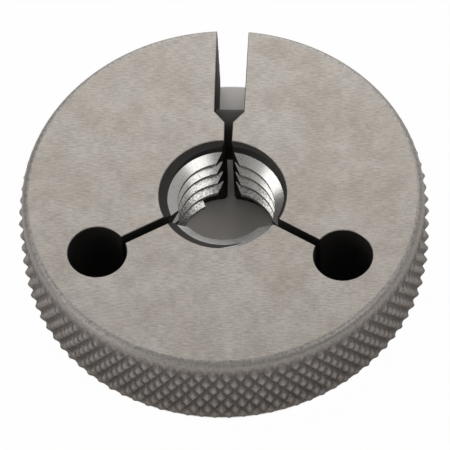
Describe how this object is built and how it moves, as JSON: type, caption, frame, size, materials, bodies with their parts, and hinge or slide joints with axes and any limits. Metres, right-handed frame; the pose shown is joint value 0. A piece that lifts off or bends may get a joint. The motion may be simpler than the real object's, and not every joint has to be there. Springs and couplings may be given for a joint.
{
  "type": "thread ring gauge",
  "caption": "Knurled steel ring gauge with a ground internal thread, split on one side and set by a hollow adjusting screw and a locking screw.",
  "frame": {"origin": "on the bottom face, under the centre of the rim", "axes": "+Z along the gauge's axis, +Y towards the split, +X from the locking screw's side to the adjusting screw's side"},
  "size_m": [0.0448, 0.0447, 0.0111],
  "materials": {
    "ring_steel": "surface-ground faces, matte knurled rim, ground thread",
    "sleeve_steel": "hardened, dark scale",
    "screw_steel": "black oxide"
  },
  "bodies": {
    "ring": {"ring_body": "ring_steel", "sleeve": "sleeve_steel"},
    "adjusting_screw": {"adjusting_screw": "screw_steel"},
    "locking_screw": {"locking_screw": "screw_steel"}
  },
  "joints": [
    {"name": "adjusting_screw_turn", "type": "hinge", "parent": "ring", "child": "adjusting_screw", "pos_m": [0.0095, 0.0114, 0.00556], "axis": [1, 0, 0], "range_deg": [-90, 90]},
    {"name": "locking_screw_turn", "type": "hinge", "parent": "ring", "child": "locking_screw", "pos_m": [-0.0125, 0.0114, 0.00556], "axis": [-1, 0, 0], "range_deg": [0, 360]}
  ]
}
